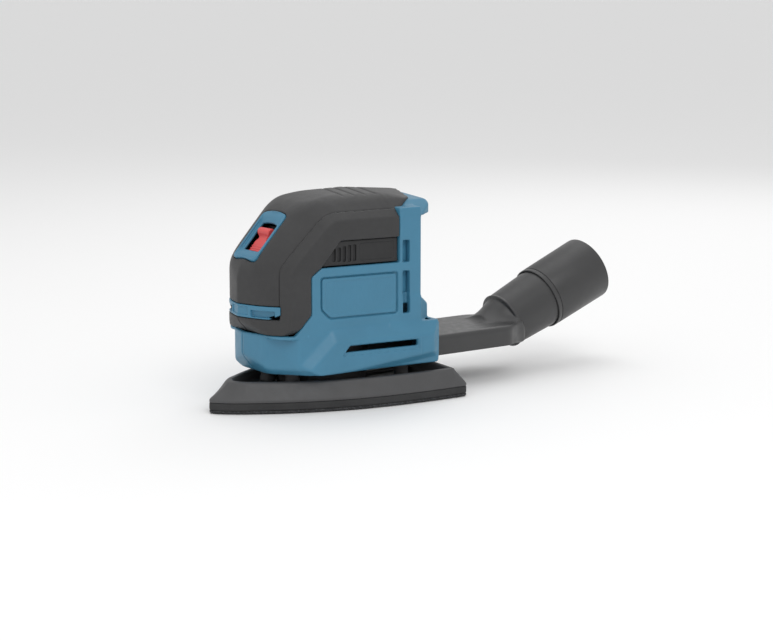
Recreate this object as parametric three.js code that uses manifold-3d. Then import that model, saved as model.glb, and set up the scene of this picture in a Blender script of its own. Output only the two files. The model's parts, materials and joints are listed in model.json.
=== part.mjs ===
// Cordless detail ("mouse") sander with a dust adapter, as an assembly of separate pieces.
// Millimetres, +Z up. Origin: underside of the pad on the motor axis. -X is the nose, +X the rear.
import * as THREE from 'three';
import { mergeVertices } from 'three/addons/utils/BufferGeometryUtils.js';
import { ConvexGeometry } from 'three/addons/geometries/ConvexGeometry.js';
import Module from 'manifold-3d';

const wasm = await Module();
wasm.setup();

// ---------------------------------------------------------------- driving dimensions
const GAP = 0.3;             // clearance between touching pieces
const WALL = 3;              // housing wall
const ECC = 0.8;             // eccentric offset: 1.6 mm orbit diameter
const SEG = 20;              // facets on a full circle
// pad
const FOAM_TOP = 5.3, PLATE_BOTTOM = 5.6, LEDGE_Z = 7.4, RIM_Z = 16, PAN_Z = 9.2;
// housing
const FLOOR_Z = 20, DECK_Z = 42, SIDE_Y = 34, FLANK_Y = 38, SIDE_SLOPE = 0.115;
const NOSE_X = -54.7, TOP_Z = 114.2, COLUMN_X = 40, HOOK_X = 51.5, BAY_X = 28;
const BAND_Z0 = 50.8, BAND_Z1 = 57.6;   // blue vent band across the nose
const GRIP_EDGE = 5;                    // width of the bevel round the side grip
// dust adapter
const DUCT_HALF = 24, DUCT_Z0 = 19.2, DUCT_Z1 = 31.2, DUCT_X0 = 52, DUCT_X1 = 116;
const TUBE_A = [128.6, 29], TUBE_TILT = 21.7 * Math.PI / 180;
const TUBE_R0 = 16.3, TUBE_R1 = 18, SLEEVE_R0 = 18.9, SLEEVE_R1 = 19.5, TUBE_L = 33, SLEEVE_L = 71;
// motor
const SHAFT_R = 4, STATOR_R = 19.6, BEARING_R = 11;

// ---------------------------------------------------------------- helpers
const group = new THREE.Group();

function solid(geometry) {
  const g = geometry.index ? geometry.toNonIndexed() : geometry.clone();
  g.deleteAttribute('normal');
  g.deleteAttribute('uv');
  const m = mergeVertices(g, 1e-4);
  return new wasm.Manifold(new wasm.Mesh({
    numProp: 3,
    vertProperties: new Float32Array(m.attributes.position.array),
    triVerts: new Uint32Array(m.index.array),
  }));
}

function geometryOf(man) {
  const mesh = man.getMesh();
  const g = new THREE.BufferGeometry();
  const p = new Float32Array(mesh.numVert * 3);
  for (let i = 0; i < mesh.numVert; i++)
    for (let k = 0; k < 3; k++) p[3 * i + k] = mesh.vertProperties[i * mesh.numProp + k];
  g.setAttribute('position', new THREE.BufferAttribute(p, 3));
  g.setIndex(new THREE.BufferAttribute(new Uint32Array(mesh.triVerts), 1));
  const flat = g.toNonIndexed();
  flat.computeVertexNormals();
  return flat;
}

const union = (...s) => s.reduce((a, b) => a.add(b));
const minus = (a, ...s) => s.reduce((x, b) => x.subtract(b), a);
const both = (a, ...s) => s.reduce((x, b) => x.intersect(b), a);

function box(x0, x1, y0, y1, z0, z1) {
  const g = new THREE.BoxGeometry(x1 - x0, y1 - y0, z1 - z0);
  g.translate((x0 + x1) / 2, (y0 + y1) / 2, (z0 + z1) / 2);
  return solid(g);
}
// upright cylinder or cone
function cyl(r, z0, z1, x = 0, y = 0, n = SEG, r1 = r) {
  const g = new THREE.CylinderGeometry(r1, r, z1 - z0, n);
  g.rotateX(Math.PI / 2);
  g.rotateZ(Math.PI / n);
  g.translate(x, y, (z0 + z1) / 2);
  return solid(g);
}
const ring = (r, ri, z0, z1, x = 0, y = 0, n = SEG) =>
  minus(cyl(r, z0, z1, x, y, n), cyl(ri, z0 - 1, z1 + 1, x, y, n));

function extrude(points, depth, holes = []) {
  const s = new THREE.Shape(points.map(p => new THREE.Vector2(p[0], p[1])));
  for (const h of holes) s.holes.push(new THREE.Path(h.map(p => new THREE.Vector2(p[0], p[1]))));
  return new THREE.ExtrudeGeometry(s, { depth, bevelEnabled: false, curveSegments: 8 });
}
function prismXY(points, z0, z1) {
  const g = extrude(points, z1 - z0);
  g.translate(0, 0, z0);
  return solid(g);
}
function prismXZ(points, y0, y1) {           // (x, z) outline swept along Y
  const g = extrude(points, y1 - y0);
  g.rotateX(Math.PI / 2);
  g.translate(0, y1, 0);
  return solid(g);
}
function prismYZ(points, x0, x1) {           // (y, z) outline swept along X
  const g = extrude(points, x1 - x0);
  g.applyMatrix4(new THREE.Matrix4().makeBasis(
    new THREE.Vector3(0, 1, 0), new THREE.Vector3(0, 0, 1), new THREE.Vector3(1, 0, 0)));
  g.translate(x0, 0, 0);
  return solid(g);
}
const hull = points => solid(new ConvexGeometry(points.map(p => new THREE.Vector3(...p))));

// A plane is [nx, ny, nz, d]: the material is where n.p <= d.
function through(nx, ny, nz, px, py, pz) {
  const m = Math.hypot(nx, ny, nz);
  return [nx / m, ny / m, nz / m, (nx * px + ny * py + nz * pz) / m];
}
const mirrored = p => [p, [p[0], -p[1], p[2], p[3]]];
function above(p, t = 0) {                   // the half space outside a plane moved in by t
  const B = 500, g = new THREE.BoxGeometry(B, B, B);
  g.translate(0, 0, B / 2);
  g.applyQuaternion(new THREE.Quaternion().setFromUnitVectors(
    new THREE.Vector3(0, 0, 1), new THREE.Vector3(p[0], p[1], p[2]).normalize()));
  const d = p[3] - t;
  g.translate(p[0] * d, p[1] * d, p[2] * d);
  return solid(g);
}
const cut = (start, planes, t = 0) => planes.reduce((m, p) => m.subtract(above(p, t)), start);

function put(name, shape, colour, roughness, metalness = 0, parent = group) {
  const geometry = shape.isBufferGeometry ? shape : geometryOf(shape);
  const mesh = new THREE.Mesh(geometry, new THREE.MeshStandardMaterial({ color: colour, roughness, metalness }));
  mesh.name = name;
  parent.add(mesh);
  return mesh;
}
const BLUE = 0x4682a2, GRIP = 0x434343, PANEL = 0x353535, PAD = 0x505050, BLACK = 0x262628,
  RED = 0xd24a4a, STEEL = 0xb8bcc0, COPPER = 0xb87333, BRASS = 0xc8a85a, BOARD = 0x1f5a3a, RUBBER = 0x2c2c2c;

// ---------------------------------------------------------------- outer form, as planes
const SIDE = mirrored(through(-SIDE_SLOPE, -1, 0, 0, -SIDE_Y, 0));
const NOSE = [
  ...mirrored(through(-8.7, -7, 0, -50, -15.4, 0)),
  ...mirrored(through(-11, -3.7, 0, -53.7, -4.4, 0)),
  ...mirrored(through(-0.975, -0.222, 0, -53.7, -4.4, 0))];
const SLOPE_ANGLE = Math.atan2(21.5, 19.5);  // slope of the front face
const SLOPE = through(-Math.sin(SLOPE_ANGLE), 0, Math.cos(SLOPE_ANGLE), -49.83, 0, 82.9);
const UPPER = [
  ...SIDE, ...NOSE, SLOPE,
  through(-0.928, 0, 0.373, NOSE_X, 0, 75),
  through(-0.349, 0, 0.937, -12, 0, TOP_Z),
  through(0, 0, 1, 0, 0, TOP_Z),
  through(0.02, 0, 1, 0, 0, TOP_Z),
  ...mirrored(through(-0.6, -0.588, 0.544, -40.15, -14, 93.82)),
  ...mirrored(through(-0.08, -0.63, 0.775, 0, -20, TOP_Z)),
  ...mirrored(through(-0.08, -0.704, 0.706, 0, -SIDE_Y, 102.2)),
  ...mirrored(through(-0.58, -0.674, 0.456, -35.3, -29.9, 80.5)),
  through(-0.732, 0, -0.681, NOSE_X, 0, 49.6)];
const LOWER_FRONT = [
  ...NOSE.map(p => [p[0], p[1], p[2], p[3] - 3.3]),
  through(-0.781, 0, -0.625, -51.4, 0, 30),
  ...mirrored(through(-0.5, -0.42, -0.757, -38.3, -18.8, FLOOR_Z))];
const FLANK = [
  ...mirrored(through(-SIDE_SLOPE, -1, 0, 0, -FLANK_Y, 0)),
  ...mirrored(through(-0.1, -0.863, 0.494, 0, -FLANK_Y, 37)),
  ...mirrored(through(-0.474, -0.774, 0.416, -13.8, -36.4, 38)),
  ...mirrored(through(0, -0.7, -0.7, 0, -FLANK_Y, 22))];
const REAR_CORNER = mirrored(through(0.574, -0.819, 0, 39.5, -38.6, 0));

const upper = cut(box(-80, 52, -60, 60, DECK_Z, 130), UPPER);
const upperIn = cut(box(-80, 49, -60, 60, DECK_Z - 1, 130), UPPER, WALL);
const lower = cut(box(-80, HOOK_X, -60, 60, FLOOR_Z, DECK_Z + 0.5), [...SIDE, ...LOWER_FRONT]);
const lowerIn = cut(box(-80, HOOK_X - WALL, -60, 60, FLOOR_Z + WALL, DECK_Z + 2), [...SIDE, ...LOWER_FRONT], WALL);
const flank = cut(box(-80, HOOK_X, -60, 60, FLOOR_Z, 44), [...FLANK, ...LOWER_FRONT]);
const flankIn = cut(box(-80, HOOK_X - WALL, -60, 60, FLOOR_Z + WALL, 41), [...FLANK, ...LOWER_FRONT], WALL);
const hookTop = mirrored(through(0, -0.0805, 1, 0, 0, 112));
const hook = cut(box(24, HOOK_X, -60, 60, 101.8, 115), [...SIDE, ...REAR_CORNER, ...hookTop]);
const column = cut(box(20.7, COLUMN_X, -60, 60, DECK_Z, 107), SIDE);
const step = cut(box(20.7, 50, -60, 60, DECK_Z, 58), [...SIDE, ...REAR_CORNER, through(0.5, 0, 0.87, 40, 0, 58)]);

// ---------------------------------------------------------------- dark and blue regions
const DARK_XZ = [[-90, DECK_Z + GAP], [-36.5, DECK_Z + GAP], [-27, 52.6], [-27, 73], [-20.9, 77.6], [26.3, 77.6], [26.3, 140], [-90, 140]];
const DARK_XZ_IN = [[-90, DECK_Z], [-36.2, DECK_Z], [-26.7, 52.5], [-26.7, 72.8], [-20.8, 77.3], [26.6, 77.3], [26.6, 140], [-90, 140]];
const PANEL_XZ = [[-20.6, 77.9], [-9.6, 90.9], [26, 90.9], [26, 77.9]];
const PANEL_HOLE = [[-20.9, 77.6], [-9.4, 91.2], [26.4, 91.2], [26.4, 77.6]];
const CORE = mirrored(through(-SIDE_SLOPE, -1, 0, 0, -(SIDE_Y - GRIP_EDGE), 0));
const core = cut(box(-80, 60, -60, 60, 0, 140), CORE);
const coreWide = cut(box(-80, 60, -60, 60, 0, 140), CORE, -GAP);
const upperShell = minus(upper, upperIn);
const dark = prismXZ(DARK_XZ, -60, 60);
const GRIP_X = -43;

// top grip: the dome, with its tongue over the rear arch
const tongue = minus(both(
  cut(upper, mirrored(through(0.17, -0.145, 0.975, 27, -25, TOP_Z - 0.9))),
  prismXY([[26.2, -32], [29, -32], [44, -21.5], [51, -11.6], [51.4, 0], [51, 11.6], [44, 21.5], [29, 32], [26.2, 32]], 90, 130)),
  cut(box(20, 60, -60, 60, 80, 120), hookTop, -GAP));
const bezelSeat = slopeBox(-11.9, 11.9, -16.2, 16.8, -3.4, 6);
let topGrip = union(
  both(upperShell, dark, union(core, box(-80, GRIP_X - GAP, -60, 60, 0, 140)), box(-80, 60, -60, 60, BAND_Z1 + GAP, 140)),
  tongue);
topGrip = minus(topGrip, bezelSeat);
for (let i = 0; i < 4; i++) {                // diagonal grip grooves on the crown
  const x = 28.6 - 7 * i;
  topGrip = minus(topGrip, prismXY([[x + 4.9, 17], [x + 6.3, 17], [x - 4.9, -17], [x - 6.3, -17]], TOP_Z - 1.2, 120));
}
topGrip = both(topGrip, box(-80, 52, -60, 60, 0, 140));
put('top_grip', topGrip, GRIP, 0.75);

function slopeBox(u0, u1, v0, v1, n0, n1) {  // box in the frame of the front slope (u across, v up the slope, n out)
  const g = new THREE.BoxGeometry(u1 - u0, v1 - v0, n1 - n0);
  g.translate((u0 + u1) / 2, (v0 + v1) / 2, (n0 + n1) / 2);
  return solid(onSlope(g));
}
function onSlope(g) {
  const c = Math.cos(SLOPE_ANGLE), s = Math.sin(SLOPE_ANGLE);
  g.applyMatrix4(new THREE.Matrix4().makeBasis(
    new THREE.Vector3(0, -1, 0), new THREE.Vector3(c, 0, s), new THREE.Vector3(-s, 0, c)));
  g.translate(-40.15, 0, 93.82);
  return g;
}

// side grips: C-shaped band with its half of the chin
const sideZone = union(
  box(GRIP_X, 60, -60, 60, 0, 140).subtract(coreWide),
  box(-80, GRIP_X + 6, -60, 60, 0, BAND_Z0 - GAP));
const grips = minus(
  cut(both(upperShell, dark, sideZone), mirrored(through(-0.08, -0.7, -0.7, 0, -SIDE_Y, 45.5))),
  prismXZ(PANEL_HOLE, -60, 60));
put('left_side_grip', both(grips, box(-90, 90, -60, -GAP / 2, 0, 140)), GRIP, 0.78);
put('right_side_grip', both(grips, box(-90, 90, GAP / 2, 60, 0, 140)), GRIP, 0.78);

// louvre panels, set back from the grip
const PANEL_PLANES = mirrored(through(-SIDE_SLOPE, -1, 0, 0, -(SIDE_Y - 1.8), 0));
let panels = minus(cut(prismXZ(PANEL_XZ, -60, 60), PANEL_PLANES), cut(box(-80, 60, -60, 60, 0, 140), PANEL_PLANES, 2));
for (let i = 0; i < 4; i++) {
  const x = -11 + 5 * i;
  panels = minus(panels, cut(box(x, x + 2.6, -60, 60, 80.5, 88), [], 0)
    .subtract(cut(box(-80, 60, -60, 60, 0, 140), PANEL_PLANES, 1)));
}
put('left_vent_panel', both(panels, box(-90, 90, -60, 0, 0, 140)), PANEL, 0.6);
put('right_vent_panel', both(panels, box(-90, 90, 0, 60, 0, 140)), PANEL, 0.6);

// nose vent band with an air slot on each side
const bandXZ = prismXZ([[-90, BAND_Z0], [-46.7, BAND_Z0], [-43.3, 53.4], [-43.3, BAND_Z1], [-90, BAND_Z1]], -60, 60);
let band = both(upperShell, bandXZ);
for (const s of [-1, 1])
  band = minus(band, box(-80, -44.2, Math.min(s * 9, s * 22), Math.max(s * 9, s * 22), 52.2, 56.3));
put('nose_vent_band', band, BLUE, 0.5);

// ---------------------------------------------------------------- blue housing halves
let shell = union(both(upperShell, box(-80, 26.6, -60, 60, 0, 140)).subtract(prismXZ(DARK_XZ_IN, -60, 60)), minus(union(lower, flank), union(lowerIn, flankIn)));
shell = union(shell, hook, column, step);
const cavity = union(
  both(upperIn, box(-80, 20.7, -60, 60, DECK_Z - 2, 140)),
  both(union(lowerIn, cut(box(-80, 36, -60, 60, 30, 54), [...SIDE, ...LOWER_FRONT], WALL)), box(-80, 60, -60, 60, 0, 60)),
  flankIn,
  box(18, 48.3, -30, 30, 105, 108));
shell = minus(shell, cavity);
shell = shell.subtract(both(prismXZ(DARK_XZ_IN, -60, 60), box(-90, 26.6, -60, 60, 0, 140)));
shell = minus(shell,
  box(BAY_X, 60, -33.8, 33.8, 59, 101.8),                                     // battery bay
  box(20, 30, -26, 26, 62, 99),                                                // window for the terminal plate
  box(28.5, 32.7, -60, 60, 77.2, 89.1), box(28.5, 32.7, -60, 60, 60.6, 72.4)); // latch windows
shell = minus(shell, both(box(28.5, 32.7, -60, 60, 49.2, 61), union(box(0, 60, -60, -34.5, 0, 99), box(0, 60, 34.5, 60, 0, 99))));
// dust slots in the flanks, motor opening, duct opening
for (const s of [-1, 1]) {
  const y0 = Math.min(s * 29, s * 60), y1 = Math.max(s * 29, s * 60);
  shell = minus(shell, prismXZ([[-10.5, 29.8], [-6.5, 34.6], [35.6, 34.6], [35.6, 29.8]], y0, y1));
  shell = minus(shell, cut(prismXZ([[-21, 71.9], [24.2, 71.9], [25, 71], [25, 50.4], [24.2, 49.6], [-16, 49.6], [-21, 54.5]], y0, y1), [], 0)
    .subtract(cut(box(-80, 60, -60, 60, 0, 140), mirrored(through(-SIDE_SLOPE, -1, 0, 0, -(SIDE_Y - 1.3), 0)))));
}
shell = minus(shell, cyl(19, 10, 30), box(47, 60, -17, 17, 22.6, 30.6));
for (const [x, y] of [[-27.5, 12.5], [36, 25]])                                  // leg spigot holes
  shell = minus(shell, cyl(2.2, 15, 26, x, y, 12), cyl(2.2, 15, 26, x, -y, 12));
// screws enter from the right half
const SCREWS = [[-33, 34], [43, 28.5], [36, 96], [36.2, 66]];
let screwHoles = null;
for (const [x, z] of SCREWS) {
  const m = solid(placeY(new THREE.CylinderGeometry(3.1, 3.1, 3.4, 14), x, sideY(x, z) - 0.4, z));
  screwHoles = screwHoles ? screwHoles.add(m) : m;
}
function sideY(x, z) { return (z < 37 && x > -20 ? FLANK_Y : SIDE_Y) + SIDE_SLOPE * x + (z >= 37 && z < 44 && x > -20 ? (44 - z) * 4 / 7 : 0); }
function placeY(g, x, y, z) { g.translate(x, y, z); return g; }
shell = minus(shell, screwHoles);
put('left_housing', both(shell, box(-90, 90, -60, -GAP / 2, 0, 140)), BLUE, 0.5);
put('right_housing', both(shell, box(-90, 90, GAP / 2, 60, 0, 140)), BLUE, 0.5);
// pan-head screws
SCREWS.forEach(([x, z], i) =>
  put('housing_screw_' + (i + 1), placeY(new THREE.CylinderGeometry(2.7, 2.7, 1.5, 12), x, sideY(x, z) - 1.2, z), STEEL, 0.35, 0.9));

// blank badge plates in their frames
const BADGE_XZ = [[-20.4, 70.4], [-19.4, 71.4], [23.6, 71.4], [24.6, 70.4], [24.6, 50.9], [23.6, 50.1], [-15.8, 50.1], [-20.4, 54.8]];
const badge = minus(cut(prismXZ(BADGE_XZ, -60, 60), mirrored(through(-SIDE_SLOPE, -1, 0, 0, -(SIDE_Y - 0.35), 0))),
  cut(box(-80, 60, -60, 60, 0, 140), mirrored(through(-SIDE_SLOPE, -1, 0, 0, -(SIDE_Y - 1.0), 0))));
put('left_badge', both(badge, box(-90, 90, -60, 0, 0, 140)), BLUE, 0.35);
put('right_badge', both(badge, box(-90, 90, 0, 60, 0, 140)), BLUE, 0.35);

// ---------------------------------------------------------------- switch
const bezelPlate = minus(
  slopeBox(-11.6, 11.6, -15.6, 16.3, -3.1, 0.5),
  slopeBox(-7.6, 7.6, -9.5, 9, -6, 3));
put('switch_bezel', bezelPlate, BLUE, 0.45);
const ridge = [];
for (let i = 0; i <= 8; i++) {
  const a = Math.PI * i / 8;
  ridge.push([3.7 + 2.4 * Math.cos(a), -3.2 + 2.6 * Math.sin(a)]);
}
{
  // profile in (v, n), swept across u
  const g = extrude([[6.1, -3.2], ...ridge.slice(1, -1), [1.3, -3.2], [-0.6, -4.4], [-13.6, -4.4], [-13.6, -5.6], [6.1, -5.6]], 11);
  g.applyMatrix4(new THREE.Matrix4().makeBasis(new THREE.Vector3(0, 1, 0), new THREE.Vector3(0, 0, 1), new THREE.Vector3(1, 0, 0)));
  g.translate(-5.5, 0, 0);
  put('switch_slider', onSlope(g), RED, 0.4);
}
put('switch_body', slopeBox(-7, 7, -8, 10, -14.5, -6.4), BLACK, 0.5);

// ---------------------------------------------------------------- battery interface
put('battery_shoe', union(
  box(24.5, 28.4, -25.7, 25.7, 62.3, 98.7),
  box(28.3, 29.8, -33.5, 33.5, 59.3, 101.5),
  box(28.3, 33.5, -33.5, -29.5, 59.3, 101.5), box(28.3, 33.5, 29.5, 33.5, 59.3, 101.5)), BLACK, 0.55);
put('terminal_block', union(
  ...[-14, -7, 0, 7, 14].map(y => box(30.1, 37.5, y - 1.5, y + 1.5, 70, 92)),
  box(30.1, 32, -15.5, 15.5, 68, 94)), BLACK, 0.5);
[['negative_terminal', -10.5], ['data_terminal_1', -3.5], ['data_terminal_2', 3.5], ['positive_terminal', 10.5]].forEach(([name, y]) =>
  put(name, box(32.3, 37, y - 0.4, y + 0.4, 72, 90), BRASS, 0.3, 0.9));

// ---------------------------------------------------------------- pad
// half outline of the sole, nose to rear
const SOLE = [[-71.6, 1.6], [-70.4, 3.3], [-66, 7.5], [-60, 12.2], [-48, 19.8], [-36, 26.2], [-23, 31.8], [-10, 36.4], [3, 40], [23, 43.4], [43, 45.3], [65, 46.2], [66.7, 45], [68.6, 24]];
const outline = (half, tip, rear) => [[tip, 0], ...half.map(p => [p[0], -p[1]]), [rear, 0], ...half.slice().reverse()];
const SOLE_XY = outline(SOLE, -72, 69.3);
const RIM = [[-59.6, 2.6], [-58.2, 5.6], [-55, 8.9], [-48, 13.6], [-39, 19.4], [-28, 25.2], [-16, 30.2], [-3, 34.4], [10, 37.7], [27, 40.6], [43, 42], [58.4, 42.7], [60.2, 41.4], [62.2, 24]];
const RIM_XY = outline(RIM, -60, 63);
const insetOf = (pts, t) => {                // moves an outline in by t
  const n = pts.length, out = [];
  for (let i = 0; i < n; i++) {
    const a = pts[(i + n - 1) % n], b = pts[i], c = pts[(i + 1) % n];
    const d1 = [b[0] - a[0], b[1] - a[1]], d2 = [c[0] - b[0], c[1] - b[1]];
    const l1 = Math.hypot(...d1), l2 = Math.hypot(...d2);
    const n1 = [-d1[1] / l1, d1[0] / l1], n2 = [-d2[1] / l2, d2[0] / l2];
    const m = [n1[0] + n2[0], n1[1] + n2[1]], k = (m[0] * n1[0] + m[1] * n1[1]);
    out.push([b[0] + m[0] * t / k, b[1] + m[1] * t / k]);
  }
  return out;
};
function loft(rings) {                        // closed solid through outlines with equal point counts, fan-capped about their mean
  const pos = [], idx = [], n = rings[0].pts.length;
  for (const r of rings) for (const p of r.pts) pos.push(p[0], p[1], r.z);
  for (let k = 0; k + 1 < rings.length; k++)
    for (let i = 0; i < n; i++) {
      const j = (i + 1) % n, a = k * n + i, b = k * n + j, c = a + n, d = b + n;
      idx.push(a, b, d, a, d, c);
    }
  const last = rings.length - 1, o = last * n;
  for (const [r, at] of [[rings[0], 0], [rings[last], o]]) {
    const c = pos.length / 3, mx = r.pts.reduce((t, p) => t + p[0], 0) / n;
    pos.push(mx, 0, r.z);
    for (let i = 0; i < n; i++) {
      const j = (i + 1) % n;
      if (at === 0) idx.push(c, j, i); else idx.push(c, o + i, o + j);
    }
  }
  const g = new THREE.BufferGeometry();
  g.setAttribute('position', new THREE.Float32BufferAttribute(pos, 3));
  g.setIndex(idx);
  return solid(g);
}
const ccw = pts => (pts.reduce((s, p, i) => { const q = pts[(i + 1) % pts.length]; return s + p[0] * q[1] - q[0] * p[1]; }, 0) > 0 ? pts : pts.slice().reverse());
const sole = ccw(SOLE_XY), rim = ccw(RIM_XY);
const PAN = insetOf(rim, 3.2), PAN_LOW = insetOf(rim, 4.2);
const DUST_HOLES = [0, 60, 120, 180, 240, 300].map(a => [17.6 * Math.cos(a * Math.PI / 180), 17.6 * Math.sin(a * Math.PI / 180)])
  .concat([[-46, 0]]);
const LEGS = [[-27.5, -12.5], [-27.5, 12.5], [36, -25], [36, 25]];
let hookSheet = prismXY(sole, 0, 1.5), foam = prismXY(sole, 1.8, FOAM_TOP);
let plate = minus(
  loft([{ pts: sole, z: PLATE_BOTTOM }, { pts: sole, z: LEDGE_Z - 1.2 }, { pts: insetOf(sole, 1.6), z: LEDGE_Z }, { pts: rim, z: RIM_Z }]),
  loft([{ pts: PAN_LOW, z: PAN_Z }, { pts: PAN, z: RIM_Z + 1 }]));
plate = union(plate, cyl(13.6, 7, 15.4, ECC, 0), ...LEGS.map(([x, y]) => cyl(5.2, 7, 10.4, x, y, 12)));
plate = minus(plate, cyl(BEARING_R + 0.2, 8.7, 20, ECC, 0), cyl(6, 5, 10, ECC, 0, 20));
for (const [x, y] of DUST_HOLES) {
  const h = cyl(3.4, -1, 12, x, y, 10);
  plate = minus(plate, h); hookSheet = minus(hookSheet, h); foam = minus(foam, h);
}
for (const [x, y] of LEGS) {
  plate = minus(plate, cyl(2.1, 0, 12, x, y, 12));
  foam = minus(foam, cyl(3.4, 0, 7, x, y, 12));
}
plate = minus(plate, box(-90, 90, -60, 60, -5, 5.5));
put('hook_sheet', hookSheet, 0x3b3d40, 0.9);
put('foam_pad', foam, 0x4b4b4b, 0.9);
put('pad_plate', plate, PAD, 0.6);
LEGS.forEach(([x, y], i) => put('leg_screw_' + (i + 1), union(cyl(3, 3.2, 5.3, x, y, 12), cyl(1.6, 5.2, 9, x, y, 10)), STEEL, 0.4, 0.9));
const legNames = ['front_left_leg', 'front_right_leg', 'rear_left_leg', 'rear_right_leg'];
LEGS.forEach(([x, y], i) => {
  const profile = [[0, 10.7], [4.5, 10.7], [4.5, 12.4], [3.8, 13.6], [3.8, 16.6], [4.5, 17.8], [4.5, 19.7], [1.9, 19.7], [1.9, 25], [0, 25]];
  const g = new THREE.LatheGeometry(profile.map(p => new THREE.Vector2(p[0], p[1])), 12);
  g.rotateX(Math.PI / 2);
  g.translate(x, y, 0);
  put(legNames[i], g, 0x5c5c5c, 0.85);
});
put('eccentric_bearing', ring(BEARING_R, SHAFT_R + 0.15, 9.1, 15, ECC, 0), STEEL, 0.3, 0.9);
put('dust_seal', ring(24.6, 22.4, 10.8, 19.7, 0, 0, 24), RUBBER, 0.9);

// ---------------------------------------------------------------- rotating group
put('motor_shaft', minus(cyl(SHAFT_R, 17.6, 79, 0, 0, 24)), STEEL, 0.25, 0.95);
{
  const weight = [];
  for (let i = 0; i <= 14; i++) { const a = (100 + 160 * i / 14) * Math.PI / 180; weight.push([16.6 * Math.cos(a), 16.6 * Math.sin(a)]); }
  const cw = union(prismXY([[0, 0], ...weight], 15.9, 21.6), cyl(8.5, 15.9, 22.6), cyl(SHAFT_R, 8.8, 16.5, ECC, 0, 24));
  put('counterweight', minus(cw, cyl(SHAFT_R + 0.15, 17.3, 24, 0, 0, 24)), 0x9a9ea3, 0.4, 0.9);
}
put('pad_screw', union(cyl(4.6, 6.4, 8.5, ECC, 0, 16)), STEEL, 0.35, 0.9);
{
  const hub = cyl(8, 25, 31, 0, 0), disc = cyl(21.5, 29.4, 31);
  let fan = union(hub, disc);
  for (let i = 0; i < 9; i++) {
    const g = new THREE.BoxGeometry(15, 1.4, 5);
    g.rotateZ(0.5);
    g.translate(14, 0, 27.2);
    g.rotateZ(i * 2 * Math.PI / 9);
    fan = fan.add(solid(g));
  }
  put('dust_fan', minus(fan, cyl(SHAFT_R + 0.15, 20, 40, 0, 0, 24)).intersect(cyl(21.9, 24, 32)), BLACK, 0.5);
}
put('rotor_core', ring(11.6, SHAFT_R + 0.15, 46, 62), 0x6f7276, 0.4, 0.8);
put('shaft_collar', ring(6.5, SHAFT_R + 0.15, 42.2, 45.6, 0, 0, 20), BRASS, 0.35, 0.9);

// ---------------------------------------------------------------- motor, fixed parts
put('lower_bearing', ring(BEARING_R, SHAFT_R + 0.15, 34.6, 41.6), STEEL, 0.3, 0.9);
put('bearing_bracket', minus(union(cyl(25.5, 33, 35.8), cyl(13.6, 33, 42), box(-12, 12, -29.5, 29.5, 33, 35.8)),
  cyl(BEARING_R + 0.2, 34.3, 50), cyl(7, 30, 40)), 0x8d9196, 0.5, 0.8);
{
  let s = ring(STATOR_R, 17.1, 45, 63, 0, 0, 24);
  for (let i = 0; i < 6; i++) {
    const g = new THREE.BoxGeometry(5.4, 4.4, 18); g.translate(15, 0, 54); g.rotateZ(i * Math.PI / 3);
    const t = new THREE.BoxGeometry(1.4, 9, 18); t.translate(12.9, 0, 54); t.rotateZ(i * Math.PI / 3);
    s = s.add(solid(g)).add(solid(t));
  }
  put('stator_core', minus(s, cyl(12, 40, 70, 0, 0, 24)), 0x7b7e82, 0.45, 0.8);
  const coils = [];
  for (let i = 0; i < 6; i++) {
    const outer = new THREE.BoxGeometry(2.4, 8.4, 22.6), inner = new THREE.BoxGeometry(4, 5, 18.6);
    for (const g of [outer, inner]) { g.translate(14.95, 0, 54); g.rotateZ(i * Math.PI / 3); }
    coils.push(minus(solid(outer), solid(inner)));
  }
  put('stator_windings', union(...coils, ring(15.9, 14, 64.2, 65.2, 0, 0, 24)), COPPER, 0.4, 0.7);
}
put('motor_end_cap', minus(union(cyl(STATOR_R, 66.2, 69.4), cyl(10.6, 66.2, 76.4)), cyl(8.3, 69.7, 90), cyl(5.5, 60, 80)), BLACK, 0.5);
put('upper_bearing', ring(8, SHAFT_R + 0.15, 70, 75.4), STEEL, 0.3, 0.9);
// dust volute round the fan, with its throat to the duct
{
  let v = minus(union(cyl(26.6, 23.3, 32.6, 0, 0, 24), box(18, 47.6, -18.6, 18.6, 23.3, 32.6)),
    union(cyl(24.8, 20, 31.3, 0, 0, 24), box(18, 60, -16.8, 16.8, 20, 31.3)), cyl(9.2, 20, 40));
  put('fan_shroud', v, BLACK, 0.55);
}

// ---------------------------------------------------------------- electronics
put('controller_board', minus(box(-20, 14, -16, 16, 84, 85.6), cyl(1.6, 80, 90, -17, -13, 10), cyl(1.6, 80, 90, 11, 13, 10)), BOARD, 0.5);
put('capacitor_1', cyl(4, 86, 95, 4, -9, 14), 0x30343a, 0.4);
put('capacitor_2', cyl(4, 86, 95, 4, 9, 14), 0x30343a, 0.4);
put('power_driver', box(-14, -4, -9, 9, 86, 88.4), 0x26282c, 0.4);
{
  const leads = [-5, 5].map(y => {
    const path = new THREE.CatmullRomCurve3([
      new THREE.Vector3(21.8, y, 78), new THREE.Vector3(19.4, y, 79.5), new THREE.Vector3(18, y, 84), new THREE.Vector3(17.4, y, 89),
      new THREE.Vector3(14.4, y * 1.1, 91.4), new THREE.Vector3(11, y * 1.15, 90.4), new THREE.Vector3(10, y * 1.2, 86.2)]);
    const s = new THREE.Shape();
    for (let i = 0; i < 8; i++) { const a = i * Math.PI / 4; i ? s.lineTo(1.1 * Math.cos(a), 1.1 * Math.sin(a)) : s.moveTo(1.1, 0); }
    return new THREE.ExtrudeGeometry(s, { steps: 14, extrudePath: path, bevelEnabled: false });
  });
  put('negative_lead', leads[0], 0x202124, 0.6);
  put('positive_lead', leads[1], 0xa03030, 0.6);
}

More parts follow.
